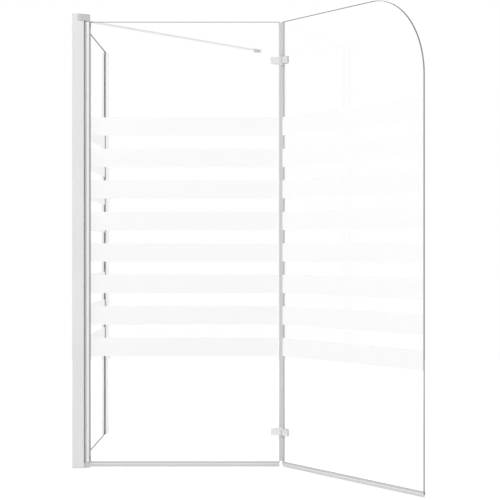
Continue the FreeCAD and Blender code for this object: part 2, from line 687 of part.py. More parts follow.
def make_wall_foot():
    """Screwed plate with a lug that turns on the fork's swivel pin."""
    keep("bar_swivel_pin", rod("z", "swivel_pin_r", "2 * fork_half", "foot_x", "foot_pin_y",
                               "bar_z - fork_half"))
    face = "wall_y - foot_plate"
    low = "bar_z - lug_thick / 2"
    plate = block("foot_x - foot_width / 2", "foot_x + foot_width / 2", face, "wall_y",
                  "bar_z - foot_height / 2", "bar_z + foot_height / 2")
    lug = block("foot_x - lug_r", "foot_x + lug_r", "foot_pin_y", face, low, f"{low} + lug_thick")
    eye = rod("z", "lug_r", "lug_thick", "foot_x", "foot_pin_y", low)
    pin_bore = rod("z", "swivel_pin_r + pin_fit", "lug_thick", "foot_x", "foot_pin_y", low)
    holes = [rod("y", "foot_hole_r", "foot_plate", f"foot_x {side} foot_hole_pitch / 2", face, "bar_z")
             for side in "-+"]
    keep("bar_wall_foot", cut(join(plate, lug, eye), pin_bore, *holes))


# Inner leaf
def make_pivot_profile():
    """Extrusion with a round back about the swing axis, and a round chamber that opens to the glass."""
    length = "profile_high - profile_low"
    round_bar = rod("z", "pivot_back_r", length, "pivot_x", "0", "profile_low")
    front_half = block("pivot_x", "pivot_x + pivot_back_r", "-pivot_back_r", "pivot_back_r",
                       "profile_low", "profile_high")
    cheeks = block("pivot_x", "pivot_x + profile_reach", "-pivot_back_r", "pivot_back_r", "profile_low",
                   "profile_high")
    slot = block("pivot_x", "pivot_x + profile_reach", "-slot_half", "slot_half", "profile_low",
                 "profile_high")
    chamber = rod("z", "chamber_r", length, "pivot_x", "0", "profile_low")
    keep("pivot_profile", cut(join(cut(round_bar, front_half), cheeks), slot, chamber))


def make_pivot_bush(label, flange_z, stem_z, low):
    """Flanged plastic bush in one end of the profile, with a plug that fills the glass cut-out."""
    flange = rod("z", "bush_flange_r", "bush_flange", "pivot_x", "0", flange_z)
    stem = rod("z", "chamber_r - screw_play", "bush_length", "pivot_x", "0", stem_z)
    plug = block("pivot_x + bush_fit", "leaf_start - bush_fit", "-slot_half + bush_fit",
                 "slot_half - bush_fit", stem_z, f"{stem_z} + bush_length")
    bore = rod("z", "pivot_pin_r + pin_fit", "bush_length + bush_flange", "pivot_x", "0", low)
    keep(label, cut(join(flange, stem, plug), bore))


def make_inner_glass():
    """Panel with a cut-out for each bush and two holes for the hinges."""
    glass = body("inner_glass")
    slot_x = "pivot_x + glass_end_gap"
    shape = sketch_on(glass, "XZ_Plane", "-glass_half")
    outline(shape, [
        (slot_x, "glazing_low"), ("leaf_start", "glazing_low"), ("leaf_start", "leaf_bottom"),
        ("inner_edge", "leaf_bottom"), ("inner_edge", "glass_top"), ("leaf_start", "glass_top"),
        ("leaf_start", "glazing_high"), (slot_x, "glazing_high"),
    ])
    for hinge_z in HINGES.values():
        circle(shape, "hinge_hole_r", "seam_x - hinge_hole_run", hinge_z)
    add_arris(glass, pad(glass, shape, "glass_thick"), "Y")


def make_inner_gaskets():
    """Two glazing strips in the pivot profile's slot, with a lip over the glass."""
    x0 = "pivot_x + glass_end_gap"
    x1 = "pivot_x + profile_reach + profile_lip"
    strips = [block(x0, x1, y, f"{y} + gasket_thick", "glazing_low", "glazing_high")
              for y in ("-slot_half", "glass_half")]
    keep("inner_glass_gaskets", group(*strips))


def make_drip_seal(label, start_x, end_x):
    """Clip-on strip along a leaf's bottom edge with a leaning lip."""
    seal = body(label)
    floor = "leaf_bottom - seal_fit"
    under = f"{floor} - strip_floor"
    section = sketch_on(seal, "YZ_Plane", start_x)
    outline(section, [
        ("-clip_outside", "strip_top"), ("-clip_outside", under), ("-lip_half", under),
        ("lip_lean - lip_tip_half", "strip_low"), ("lip_lean + lip_tip_half", "strip_low"),
        ("lip_half", under), ("clip_outside", under), ("clip_outside", "strip_top"),
        ("clip_inside", "strip_top"), ("clip_inside", floor), ("-clip_inside", floor),
        ("-clip_inside", "strip_top"),
    ])
    pad(seal, section, f"{end_x} - ({start_x})")


def make_seam_seal():
    """Clip-on strip on the inner leaf's free edge, in three lengths between the hinges."""
    grip_x = "inner_edge - clip_reach"
    wall_x = "inner_edge + seal_fit"
    fin_x = "inner_edge + fin_reach"
    fin_y = "glass_half + fin_gap"
    break_at = "(hinge_half + seal_break)"
    lengths = (
        ("strip_top + seal_break", f"hinge_low_z - {break_at}"),
        (f"hinge_low_z + {break_at}", f"hinge_high_z - {break_at}"),
        (f"hinge_high_z + {break_at}", "glass_top"),
    )
    strips = []
    for low, high in lengths:
        strip = doc.addObject("PartDesign::Body", "SeamStrip")
        section = sketch_on(strip, "XY_Plane", low)
        outline(section, [
            (grip_x, "-clip_outside"), (f"{wall_x} + seal_wall", "-clip_outside"),
            (f"{wall_x} + seal_wall", fin_y), (fin_x, fin_y), (fin_x, "clip_outside"),
            (grip_x, "clip_outside"), (grip_x, "clip_inside"), (wall_x, "clip_inside"),
            (wall_x, "-clip_inside"), (grip_x, "-clip_inside"),
        ])
        pad(strip, section, f"{high} - ({low})")
        strips.append(strip)
    keep("seam_seal", group(*strips))


# Outer leaf
def make_outer_glass():
    """Panel with a large rounded top corner at its free edge and two holes for the hinges."""
    glass = body("outer_glass")
    shape = sketch_on(glass, "XZ_Plane", "-glass_half")
    radius = size("corner_r")
    right = size("seam_x") + size("outer_reach")
    left = size("seam_x") + size("outer_gap")
    top = size("post_height") - size("bracket_drop") - size("leaf_drop")
    low = size("leaf_bottom")
    spots = [FreeCAD.Vector(*spot, 0) for spot in
             ((left, low), (right, low), (right, top - radius), (right - radius, top), (left, top))]
    shape.addGeometry(Part.LineSegment(spots[0], spots[1]))
    shape.addGeometry(Part.LineSegment(spots[1], spots[2]))
    centre = FreeCAD.Vector(right - radius, top - radius, 0)
    ring = Part.Circle(centre, FreeCAD.Vector(0, 0, 1), radius)
    shape.addGeometry(Part.ArcOfCircle(ring, 0, math.pi / 2))
    shape.addGeometry(Part.LineSegment(spots[3], spots[4]))
    shape.addGeometry(Part.LineSegment(spots[4], spots[0]))
    joints = (("Coincident", 0, 1), ("Tangent", 1, 2), ("Tangent", 2, 3), ("Coincident", 3, 4),
              ("Coincident", 4, 0))
    for kind, before, after in joints:
        shape.addConstraint(Sketcher.Constraint(kind, before, 2, after, 1))
    for kind, edge in (("Horizontal", 0), ("Vertical", 1), ("Horizontal", 3), ("Vertical", 4)):
        shape.addConstraint(Sketcher.Constraint(kind, edge))
    fix_point(shape, 0, 1, "outer_edge", "leaf_bottom")
    fix(shape, "DistanceX", (-1, 1, 1, 1), "free_edge")
    fix(shape, "Radius", (2,), "corner_r")
    fix(shape, "DistanceY", (-1, 1, 4, 1), "glass_top")
    for hinge_z in HINGES.values():
        circle(shape, "hinge_hole_r", "seam_x + hinge_hole_run", hinge_z)
    add_arris(glass, pad(glass, shape, "glass_thick"), "Y")


# Hinges between the leaves
def knuckle_spans(centre):
    """Height ranges of the three knuckles: the outer leaf's is the middle one."""
    third = "hinge_height / 3"
    return [(f"{centre} - hinge_half + {i} * {third}", f"{centre} - hinge_half + {i + 1} * {third}")
            for i in range(3)]


def bevelled_plate(x0, x1, front, thick, centre):
    """Hinge plate with bevelled edges on its outer face, but not at the seam.

    front is the distance of the sketched face in front of the glass mid plane.
    """
    plate = doc.addObject("PartDesign::Body", "HingePlate")
    shape = sketch_on(plate, "XZ_Plane", front)
    rectangle(shape, x0, x1, f"{centre} - hinge_half", f"{centre} + hinge_half")
    slab = pad(plate, shape, thick)
    seam_x = size("seam_x")
    glass_side = size("glass_thick") / 2 + size("pad_thick") + HAIR
    sharp_run = size("knuckle_r") + HAIR

    def on_outer_rim(edge):
        flat = edge.BoundBox.YLength < HAIR
        middle = edge.CenterOfMass
        return flat and abs(middle.y) > glass_side and abs(middle.x - seam_x) > sharp_run

    finish_edges(plate, slab, "Chamfer", on_outer_rim, Size="plate_bevel")
    return plate


def make_hinge_half(prefix, leaf, sign, centre):
    """Outer plate with knuckles, clamp plate, pads and clamp screw on one leaf."""
    near = f"seam_x {sign} knuckle_gap"
    edge = f"{leaf}_edge"
    hole_x = f"seam_x {sign} hinge_hole_run"

    def span(x_end, reach):
        far = f"seam_x {sign} {reach}"
        return (far, x_end) if sign == "-" else (x_end, far)

    spans = knuckle_spans(centre)
    own = spans[1:2] if leaf == "outer" else spans[0::2]
    other = spans[0::2] if leaf == "outer" else spans[1:2]
    plate = bevelled_plate(*span(near, f"{leaf}_plate_reach"), "plate_y", "hinge_thick", centre)
    knuckles = [rod("z", "knuckle_r", f"{z1} - ({z0}) - knuckle_gap", "seam_x", "-seam_offset",
                    f"{z0} + knuckle_gap / 2") for z0, z1 in own]
    rooms = [rod("z", "knuckle_r + knuckle_gap", f"{z1} - ({z0}) + knuckle_gap", "seam_x",
                 "-seam_offset", f"{z0} - knuckle_gap / 2") for z0, z1 in other]
    fit = "hinge_pin_r + pin_fit" if leaf == "outer" else "hinge_pin_r"
    pin_bore = rod("z", fit, "hinge_height", "seam_x", "-seam_offset", f"{centre} - hinge_half")
    tip_y = "-plate_y - hinge_thick / 2"
    thread = rod("y", "clamp_screw_r", "hinge_thick / 2", hole_x, tip_y, centre)
    keep(f"{prefix}_plate", cut(join(plate, *knuckles), pin_bore, *rooms, thread))

    clamp = bevelled_plate(*span(edge, "clamp_reach"), "-plate_y - clamp_thick", "clamp_thick", centre)
    clear = rod("y", "clamp_screw_r + screw_play", "clamp_thick", hole_x, "plate_y", centre)
    keep(f"{prefix}_clamp", cut(clamp, clear))

    window = block(f"{hole_x} - hinge_hole_r", f"{hole_x} + hinge_hole_r", "-plate_y", "plate_y",
                   f"{centre} - hinge_hole_r", f"{centre} + hinge_hole_r")
    pads = [cut(block(*span(edge, reach), y0, y1, f"{centre} - hinge_half", f"{centre} + hinge_half"), window)
            for y0, y1, reach in (("-plate_y", "-glass_half", f"{leaf}_plate_reach"),
                                  ("glass_half", "plate_y", "clamp_reach"))]
    keep(f"{prefix}_pads", group(*pads))

    seat_y = "plate_y + clamp_thick"
    shank = rod("y", "clamp_screw_r", f"{seat_y} - ({tip_y})", hole_x, tip_y, centre)
    head = rod("y", "clamp_head_r", "clamp_head_deep", hole_x, seat_y, centre)
    keep(f"{prefix}_screw", join(shank, head))


def make_hinges():
    """Both hinges: a half on each leaf and the pin in the inner leaf's knuckles."""
    for level, centre in HINGES.items():
        for leaf, sign in (("inner", "-"), ("outer", "+")):
            make_hinge_half(f"{level}_hinge_{leaf}", leaf, sign, centre)
        keep(f"{level}_hinge_pin", rod("z", "hinge_pin_r", "hinge_height", "seam_x", "-seam_offset",
                                       f"{centre} - hinge_half"))


def fold_outer_leaf():
    """Turn every piece of the outer leaf about the fold axis to its rest position."""
    axis = FreeCAD.Vector(size("seam_x"), -size("seam_offset"), 0)
    turn = FreeCAD.Rotation(FreeCAD.Vector(0, 0, 1), -size("fold_angle"))
    fold = FreeCAD.Placement(FreeCAD.Vector(), turn, axis)
    for label, thing in parts.items():
        if "outer" in label:
            thing.Placement = fold.multiply(thing.Placement)


def write_parts():
    """Refuse a failed or empty piece, then write one file for each."""
    for thing in doc.Objects:
        if {"Invalid", "Error"} & set(thing.State):
            raise RuntimeError(f"{thing.Label} failed: {thing.State}")
    for label, thing in parts.items():
        shape = thing.Shape
        if shape.isNull() or not shape.isValid() or not shape.Solids:
            raise RuntimeError(f"{label} has no valid solid")
    os.makedirs("parts", exist_ok=True)
    for label, thing in parts.items():
        thing.Shape.exportStep(f"parts/{label}.step")
    print(f"{len(parts)} pieces, {sum(len(thing.Shape.Solids) for thing in parts.values())} solids")


sheet = make_sheet()
make_corner_post()
make_post_top_cap()
make_top_pivot_bracket()
make_bottom_pivot_bracket()
make_pivot_pins()
make_bracket_screws()
make_post_seal()
make_side_glass()
make_side_gaskets()
make_wall_channel()
make_adjusting_channel()
make_channel_lock_screws()
make_channel_top_cap()
make_support_bar()
make_wall_foot()
make_pivot_profile()
make_pivot_bush("bottom_pivot_bush", "profile_low - bush_flange", "profile_low",
                "profile_low - bush_flange")
make_pivot_bush("top_pivot_bush", "profile_high", "profile_high - bush_length",
                "profile_high - bush_length")
make_inner_glass()
make_inner_gaskets()
make_drip_seal("inner_drip_seal", "leaf_start", "inner_edge")
make_seam_seal()
make_outer_glass()
make_drip_seal("outer_drip_seal", "outer_edge", "free_edge")
make_hinges()
doc.recompute()
fold_outer_leaf()
doc.recompute()
write_parts()
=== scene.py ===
"""Looks of a bath-top shower enclosure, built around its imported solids.

Frame: metres. The origin is the centre of the corner post's foot, on the bath rim. +X runs along the
front of the bath, +Y runs back to the wall and +Z is up. The outer leaf rests folded outwards.

Every solid gets a finish. New pieces are the white bands on the glass and the socket screws.
"""
import json
import math

import bpy
import numpy as np
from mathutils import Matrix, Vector


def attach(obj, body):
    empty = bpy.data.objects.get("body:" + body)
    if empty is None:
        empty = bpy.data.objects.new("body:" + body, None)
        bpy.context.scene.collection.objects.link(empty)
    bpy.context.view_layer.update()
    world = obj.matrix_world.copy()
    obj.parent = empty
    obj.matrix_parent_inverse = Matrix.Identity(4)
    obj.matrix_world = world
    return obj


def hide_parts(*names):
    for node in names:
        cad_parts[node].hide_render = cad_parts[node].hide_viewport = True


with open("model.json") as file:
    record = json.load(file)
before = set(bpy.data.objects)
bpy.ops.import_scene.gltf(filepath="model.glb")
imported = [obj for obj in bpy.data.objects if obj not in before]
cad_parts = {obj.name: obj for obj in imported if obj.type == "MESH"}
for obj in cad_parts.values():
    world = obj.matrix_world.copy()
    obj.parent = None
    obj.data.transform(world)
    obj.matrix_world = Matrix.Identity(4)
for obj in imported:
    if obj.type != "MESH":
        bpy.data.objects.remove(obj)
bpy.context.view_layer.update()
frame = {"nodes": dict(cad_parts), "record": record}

# Directions
RIGHT = (1.0, 0.0, 0.0)
LEFT = (-1.0, 0.0, 0.0)
BACK = (0.0, 1.0, 0.0)
FRONT = (0.0, -1.0, 0.0)
UP = (0.0, 0.0, 1.0)
DOWN = (0.0, 0.0, -1.0)

# Seam between the leaves: its upright axis, and the outer leaf's turn from straight to its rest
SEAM_X = 0.580
SEAM_Y = -0.0075
FOLD_TURN = math.radians(-56.2)
OUTER_LEAF_ALONG = (math.cos(FOLD_TURN), math.sin(FOLD_TURN), 0.0)
OUTER_LEAF_BACK = (-math.sin(FOLD_TURN), math.cos(FOLD_TURN), 0.0)

# Glass panels: the faces and edges that the print and the tones follow
GLASS_FRONT = -0.0025
SIDE_GLASS_INSIDE = 0.0105
INNER_GLASS_EDGE = 0.5765
POLISHED_EDGE_END = SEAM_X + 0.008

# Support bar: two points of its axis, seen from above
BAR_START = (0.008, 0.009)
BAR_END = (0.511, 0.651)
BAR_HEADING = math.atan2(BAR_END[1] - BAR_START[1], BAR_END[0] - BAR_START[0])

# White bands printed on the glass, counted from the top one
BAND_COUNT = 8
BAND_TOP = 1.0040
BAND_PITCH = 0.0903
BAND_HEIGHT = 0.0525
BAND_THICK = 0.0002
BAND_LIFT = 0.00002
INNER_BAND_SPAN = (0.0360, 0.5720)
OUTER_BAND_SPAN = (0.5815, 1.2060)
SIDE_BAND_SPAN = (0.0190, 0.5800)

# Clamp screws of the hinges; the run goes from the seam's axis along either leaf
CLAMP_SCREW = {"head_r": 0.0036, "head_deep": 0.0016, "shank_r": 0.0020, "length": 0.0127}
CLAMP_SCREW_HEIGHTS = {"lower": 0.102, "upper": 1.167}
CLAMP_SCREW_RUN = 0.0135
CLAMP_HEAD_Y = 0.0076

# Screws that lock the two channels at the wall together
LOCK_SCREW = {"head_r": 0.0032, "head_deep": 0.0016, "shank_r": 0.0016, "length": 0.0067}
LOCK_SCREW_HEIGHTS = (0.268, 1.0205)
LOCK_SCREW_Y = 0.642
LOCK_HEAD_X = 0.0191

# Bracket screws in the post's screw ports: one at the top, two at the bottom
BRACKET_SCREW = {"head_r": 0.00285, "head_deep": 0.0018, "shank_r": 0.00145}
TOP_SCREW_LENGTH = 0.0367
TOP_HEAD_Z = 1.2997
BOTTOM_SCREW_LENGTH = 0.0187
BOTTOM_HEAD_Z = 0.0003
PORT_XS = (0.002, 0.012)
PORT_Y = -0.012

# Where a strip's look changes: along Y on the post seal, X on the seam strip and Z on the drip seals
SEAL_BACK = (-0.0105, -0.0095)
SEAM_CLIP = (INNER_GLASS_EDGE, INNER_GLASS_EDGE - 0.0006)
DRIP_RIM = (0.0118, 0.0128)
DRIP_FLOOR = (0.0104, 0.0094)
DRIP_LIP = (0.0072, 0.0062)

# Gloss of a clear sheet: its share when seen squarely, and what a grazing view adds
SQUARE_GLOSS = 0.03
GRAZING_GLOSS = 0.08

# Grains and tints that several finishes share
DIE_LINES = (0.0007, 0.0007, 0.11)
BRUSH_LINES = (0.0004, 0.0004, 0.012)
PLAIN = (1.0, 1.0, 1.0)
COOL = (0.995, 0.998, 1.0)
PAINT_GREEN = (0.99, 1.0, 0.99)
GLASS_GREEN = (0.96, 1.0, 0.98)

# Floor, room and lamps; each lamp has a place and a power in watts
FLOOR_REACH = 4.0
FLOOR_HEIGHT = -0.0005
FLOOR_TONE = 0.80
FLOOR_GLOW_NEAR = 0.34
FLOOR_GLOW_FAR = 0.62
FLOOR_GLOW_RANGE = (1.0, 3.6)
ROOM_LIGHT = 0.58
LAMP_WIDTH = 3.0
LAMP_AIM = (0.5, 0.1, 0.75)
LAMPS = {
    "key": ((-3.0, -2.4, 3.3), 77.0),
    "fill": ((0.0, -4.4, 2.2), 46.0),
    "side": ((4.2, 0.8, 2.2), 52.0),
    "back": ((0.5, 3.2, 3.2), 40.0),
}

# Camera, from the photograph's perspective
PHOTO_PIXELS = 500
FOCAL_PIXELS = 1453.4
CAMERA_PLACE = (0.53722, -4.17246, 0.62686)
CENTRE_PIXEL = (265.87, 248.84)
SENSOR_WIDTH = 36.0


class Value:
    """A node's output that Python expressions can use: each operator adds one Math node."""

    def __init__(self, tree, socket):
        self.tree = tree
        self.socket = socket

    def math(self, operation, first, second=0.0):
        """A Math node on values or numbers."""
        return self.tree.node("ShaderNodeMath", {"operation": operation}, {0: first, 1: second})

    def __add__(self, other):
        return self.math("ADD", self, other)

    def __radd__(self, other):
        return self.math("ADD", other, self)

    def __sub__(self, other):
        return self.math("SUBTRACT", self, other)

    def __rsub__(self, other):
        return self.math("SUBTRACT", other, self)

    def __mul__(self, other):
        return self.math("MULTIPLY", self, other)

    def __rmul__(self, other):
        return self.math("MULTIPLY", other, self)

    def __lt__(self, other):
        return self.math("LESS_THAN", self, other)

    def __abs__(self):
        return self.math("ABSOLUTE", self)

    def larger(self, other):
        """The larger of two values."""
        return self.math("MAXIMUM", self, other)


class Tree:
    """A node tree with one method that adds any node, sets it and links it."""

    def __init__(self, owner):
        owner.use_nodes = True
        self.nodes = owner.node_tree.nodes
        self.links = owner.node_tree.links
        self.nodes.clear()

    def node(self, kind, settings=None, inputs=None, output=0):
        """A new node: its settings first, then its sockets' values or links. Returns one output."""
        made = self.nodes.new(kind)
        for name, value in (settings or {}).items():
            setattr(made, name, value)
        for name, value in (inputs or {}).items():
            if isinstance(value, Value):
                self.links.new(value.socket, made.inputs[name])
            else:
                made.inputs[name].default_value = value
        return Value(self, made.outputs[output]) if made.outputs else None

    def spot(self):
        """Object coordinates."""
        return self.node("ShaderNodeTexCoord", output="Object")

    def axis(self, name):
        """One object coordinate: X, Y or Z."""
        return self.node("ShaderNodeSeparateXYZ", None, {"Vector": self.spot()}, name)

    def distance(self):
        """How far a point lies from the object's origin."""
        return self.node("ShaderNodeVectorMath", {"operation": "LENGTH"}, {0: self.spot()}, "Value")

    def grain(self, sizes, turn=0.0, detail=3.0):
        """Noise whose grains have the given sizes in metres, turned about Z."""
        place = self.node("ShaderNodeMapping", {"vector_type": "TEXTURE"},
                          {"Vector": self.spot(), "Rotation": (0.0, 0.0, turn), "Scale": sizes})
        return self.node("ShaderNodeTexNoise", None, {"Vector": place, "Scale": 1.0, "Detail": detail})

    def facing(self, direction):
        """How squarely a face lies across a direction: 1 across it, 0 along it."""
        normal = self.node("ShaderNodeTexCoord", output="Normal")
        return abs(self.node("ShaderNodeVectorMath", {"operation": "DOT_PRODUCT"},
                             {0: normal, 1: direction}, "Value"))

    def ease(self, value, start, end):
        """0 before start, 1 beyond end, smooth between them; end may be the smaller of the two."""
        return self.node("ShaderNodeMapRange", {"interpolation_type": "SMOOTHSTEP"},
                         {"Value": value, "From Min": start, "From Max": end})

    def blend(self, factor, first, second):
        """A colour between two colours."""
        return self.node("ShaderNodeMix", {"data_type": "RGBA"}, {0: factor, 6: first, 7: second}, 2)

    def relief(self, value, depth):
        """A bumped normal whose relief is depth metres high."""
        return self.node("ShaderNodeBump", None, {"Height": value, "Distance": depth})

    def surface(self, **inputs):
        """A Principled surface; an underscore in a name stands for a space."""
        named = {name.replace("_", " "): value for name, value in inputs.items()}
        return self.node("ShaderNodeBsdfPrincipled", None, named)

    def mix(self, factor, first, second):
        """One surface where factor is 0, another where it is 1."""
        return self.node("ShaderNodeMixShader", None, {0: factor, 1: first, 2: second})

    def clear(self, roughness):
        """Clear sheet: see-through, with a gloss outside that grows as the slant's fifth power."""
        gloss = self.node("ShaderNodeBsdfGlossy", None, {"Color": grey(1.0), "Roughness": roughness})
        through = self.node("ShaderNodeBsdfTransparent")
        slant = self.node("ShaderNodeLayerWeight", output="Facing")
        square = slant * slant
        outside = 1.0 - self.node("ShaderNodeNewGeometry", output="Backfacing")
        share = square * square * slant * GRAZING_GLOSS + SQUARE_GLOSS
        return self.mix(share * outside, through, gloss)

    def seen(self):
        """1 for rays that see the background directly, in a gloss or through glass, 0 for light."""
        camera, glossy, through = (self.node("ShaderNodeLightPath", output=name) for name in
                                   ("Is Camera Ray", "Is Glossy Ray", "Is Transmission Ray"))
        return camera.larger(glossy).larger(through)


def grey(level, tint=PLAIN):
    """A linear grey with a slight tint."""
    return tuple(level * part for part in tint) + (1.0,)


def even(size):
    """Grain sizes that are the same every way."""
    return (size, size, size)


def material(paint):
    """Decorator: a material of the function's name, with the surface that the function builds."""
    made = bpy.data.materials.new(paint.__name__)
    tree = Tree(made)
    tree.node("ShaderNodeOutputMaterial", None, {"Surface": paint(tree)})
    return made


# Metals
def drawn_metal(tree, dark, light, grains, turn=0.0, roughness=0.34, metallic=0.75, shaded_across=None):
    """Satin metal: fine drawing lines over broad, faint clouds.

    Where shaded_across gives a direction, the faces that lie across it get painted shade: a darker tone
    that stands in for the shadow on them.
    """
    lines = tree.grain(grains, turn, detail=4.0)
    clouds = tree.grain((0.06, 0.06, 0.22), turn, detail=2.0)
    tone = tree.blend(lines * 0.6 + clouds * 0.4, grey(dark), grey(light, COOL))
    if shaded_across:
        # painted shade: the faces that lie across the given direction are darkened as if in shadow
        tone = tree.blend(tree.ease(tree.facing(shaded_across), 0.80, 0.95), tone, grey(0.40))
    return tree.surface(Base_Color=tone, Metallic=metallic, Roughness=roughness + lines * 0.12,
                        Normal=tree.relief(lines, 0.000012))


@material
def satin_aluminium(tree):
    """Anodised extrusion with die lines along its length."""
    return drawn_metal(tree, dark=0.63, light=0.81, grains=DIE_LINES, metallic=0.45)


@material
def shade_lifted_aluminium(tree):
    """Pivot profile and the channels at the wall: the same extrusion as painted light, a paler copy that
    lifts the shade falling on them beside the post and at the wall.
    """
    return drawn_metal(tree, dark=0.83, light=0.97, grains=DIE_LINES, metallic=0.2)


@material
def drawn_bar(tree):
    """Support bar with drawing lines along it."""
    lengthways = (0.09, 0.0005, 0.0005)
    return drawn_metal(tree, dark=0.61, light=0.85, grains=lengthways, turn=BAR_HEADING, roughness=0.28)


@material
def plated_hinge(tree):
    """Satin plated hinge block, brushed upright."""
    return drawn_metal(tree, dark=0.63, light=0.85, grains=BRUSH_LINES, roughness=0.30)


@material
def plated_outer_hinge(tree):
    """The outer leaf's hinge plates: a paler copy of the hinge plating, lightened as painted light on
    their fronts, with painted shade on their ends.
    """
    return drawn_metal(tree, dark=0.68, light=0.90, grains=BRUSH_LINES, roughness=0.30,
                       shaded_across=OUTER_LEAF_ALONG)


@material
def plain_stainless(tree):
    """Turned screws and pins."""
    return drawn_metal(tree, dark=0.48, light=0.74, grains=(0.0012, 0.0012, 0.0003), roughness=0.26)


@material
def tumbled_casting(tree):
    """The bar's fork and wall foot, tumbled to an even dull grain."""
    return drawn_metal(tree, dark=0.49, light=0.65, grains=even(0.0014), roughness=0.36, metallic=0.6)


def satin_paint(tree, dark, light):
    """Satin paint with a fine orange peel over a casting."""
    peel = tree.grain(even(0.0009), detail=2.0)
    clouds = tree.grain(even(0.02))
    tone = tree.blend(clouds, grey(dark, PAINT_GREEN), grey(light, PAINT_GREEN))
    return tree.surface(Base_Color=tone, Roughness=0.40 + peel * 0.14, Coat_Weight=0.15,
                        Normal=tree.relief(peel, 0.00006))


@material
def painted_casting(tree):
    """Top pivot bracket."""
    return satin_paint(tree, dark=0.535, light=0.585)


@material
def shade_lifted_casting(tree):
    """Bottom pivot bracket: the top bracket's paint in a paler copy, painted light that lifts the shade
    it stands in at the post's foot.
    """
    return satin_paint(tree, dark=0.66, light=0.72)


# Rubbers and plastics
def soft_strip(tree, dark, light, roughness=0.55, pale=None):
    """Extruded strip: flow lines along its length and a fine mottle.

    Where pale is given, the strip turns to a pale grey as pale goes from 0 to 1.
    """
    lines = tree.grain((0.0006, 0.0006, 0.06))
    mottle = tree.grain(even(0.0015))
    streaks = lines * 0.5 + mottle * 0.5
    tone = tree.blend(streaks, grey(dark), grey(light))
    if pale is not None:
        tone = tree.blend(pale, tone, tree.blend(streaks, grey(0.88), grey(0.94)))
    return tree.surface(Base_Color=tone, Roughness=roughness + mottle * 0.15, Specular_IOR_Level=0.2,
                        Normal=tree.relief(mottle, 0.00003))


@material
def shadow_line_seal(tree):
    """Post seal in two colours: a near-black front, partly dark rubber and partly a painted shadow line
    where the gap between the post and the pivot profile lies in shade, and a pale back.
    """
    back = tree.ease(tree.axis("Y"), *SEAL_BACK)
    return soft_strip(tree, dark=0.012, light=0.022, roughness=0.60, pale=back)


@material
def glazing_gasket(tree):
    """Gaskets in the post and the pivot profile, and the hinges' pads."""
    return soft_strip(tree, dark=0.42, light=0.50)


@material
def shade_lifted_gasket(tree):
    """The side panel's gaskets at the wall: a paler copy of the gaskets' grey, painted light that lifts
    the shade deep in the wall channel.
    """
    return soft_strip(tree, dark=0.82, light=0.90)


def moulded(tree, dark, light):
    """Moulded plastic with a fine spark grain."""
    spark = tree.grain(even(0.0007), detail=4.0)
    tone = tree.blend(spark, grey(dark), grey(light))
    return tree.surface(Base_Color=tone, Roughness=0.48 + spark * 0.14,
                        Normal=tree.relief(spark, 0.00005))


@material
def moulded_grey(tree):
    """Channel cap."""
    return moulded(tree, dark=0.74, light=0.84)


@material
def bush_grey(tree):
    """Pivot bushes, in the gaskets' grey."""
    return moulded(tree, dark=0.42, light=0.50)


@material
def drip_vinyl(tree):
    """Clip-on strip with tones by height that are painted shade and light: a darker rim at its top, a
    paler wall, a darker floor and a paler lip, as light and shade fall across its shape.
    """
    height = tree.axis("Z")
    lines = tree.grain((0.05, 0.05, 0.0006))
    tone = tree.blend(lines, grey(0.74), grey(0.82))
    # painted shade and light: bands of tone by height stand in for how light falls across the strip
    for change, level in ((DRIP_RIM, 0.57), (DRIP_FLOOR, 0.69), (DRIP_LIP, 0.80)):
        tone = tree.blend(tree.ease(height, *change), tone, grey(level))
    return tree.surface(Base_Color=tone, Roughness=0.38 + lines * 0.16,
                        Normal=tree.relief(lines, 0.00003))


@material
def seam_vinyl(tree):
    """Seam strip: grey fin and wall, and a clear clip where it grips the glass."""
    lines = tree.grain((0.0006, 0.0006, 0.05))
    tone = tree.blend(lines, grey(0.76), grey(0.84))
    fin = tree.surface(Base_Color=tone, Roughness=0.40 + lines * 0.16,
                       Normal=tree.relief(lines, 0.00003))
    return tree.mix(tree.ease(tree.axis("X"), *SEAM_CLIP), fin, tree.clear(0.12))


# Glass and its print
def pane(tree, direction, upright, level, polished_end=None):
    """Clear sheet with ground grey-green edges; direction is the sheet's normal.

    upright and level are the tones of the upright and the level edges; the level edges are given darker
    tones, a painted shade that keeps the lines along each sheet's top and bottom dark.
    edges up to that distance along X are polished and paler.
    """
    film = tree.grain((0.12, 0.12, 0.20))
    grinding = tree.grain(even(0.0008))
    # painted shade: the level edges take a darker tone than the upright ones
    tone = tree.blend(tree.facing(UP), grey(upright, GLASS_GREEN), grey(level, GLASS_GREEN))
    if polished_end is not None:
        tone = tree.blend(tree.axis("X") < polished_end, tone, grey(0.72, GLASS_GREEN))
    tone = tree.blend(grinding * 0.2, tone, grey(0.4, GLASS_GREEN))
    edge = tree.surface(Base_Color=tone, Roughness=0.22 + grinding * 0.20, Specular_IOR_Level=0.15,
                        Normal=tree.relief(grinding, 0.00002))
    return tree.mix(tree.facing(direction) < 0.95, tree.clear(film * 0.03), edge)


@material
def side_pane(tree):
    """Fixed side panel."""
    return pane(tree, RIGHT, upright=0.26, level=0.03)


@material
def inner_pane(tree):
    """Inner leaf."""
    return pane(tree, BACK, upright=0.34, level=0.07)


@material
def outer_pane(tree):
    """Outer leaf, polished at the seam."""
    return pane(tree, OUTER_LEAF_BACK, upright=0.34, level=0.05, polished_end=POLISHED_EDGE_END)


@material
def white_print(tree):
    """Fired white print with a faint screen grain."""
    screen = tree.grain(even(0.0008), detail=2.0)
    clouds = tree.grain((0.05, 0.05, 0.03))
    tone = tree.blend(screen * 0.5 + clouds * 0.5, grey(0.90), grey(0.94))
    return tree.surface(Base_Color=tone, Roughness=0.42 + screen * 0.12,
                        Normal=tree.relief(screen, 0.00002))


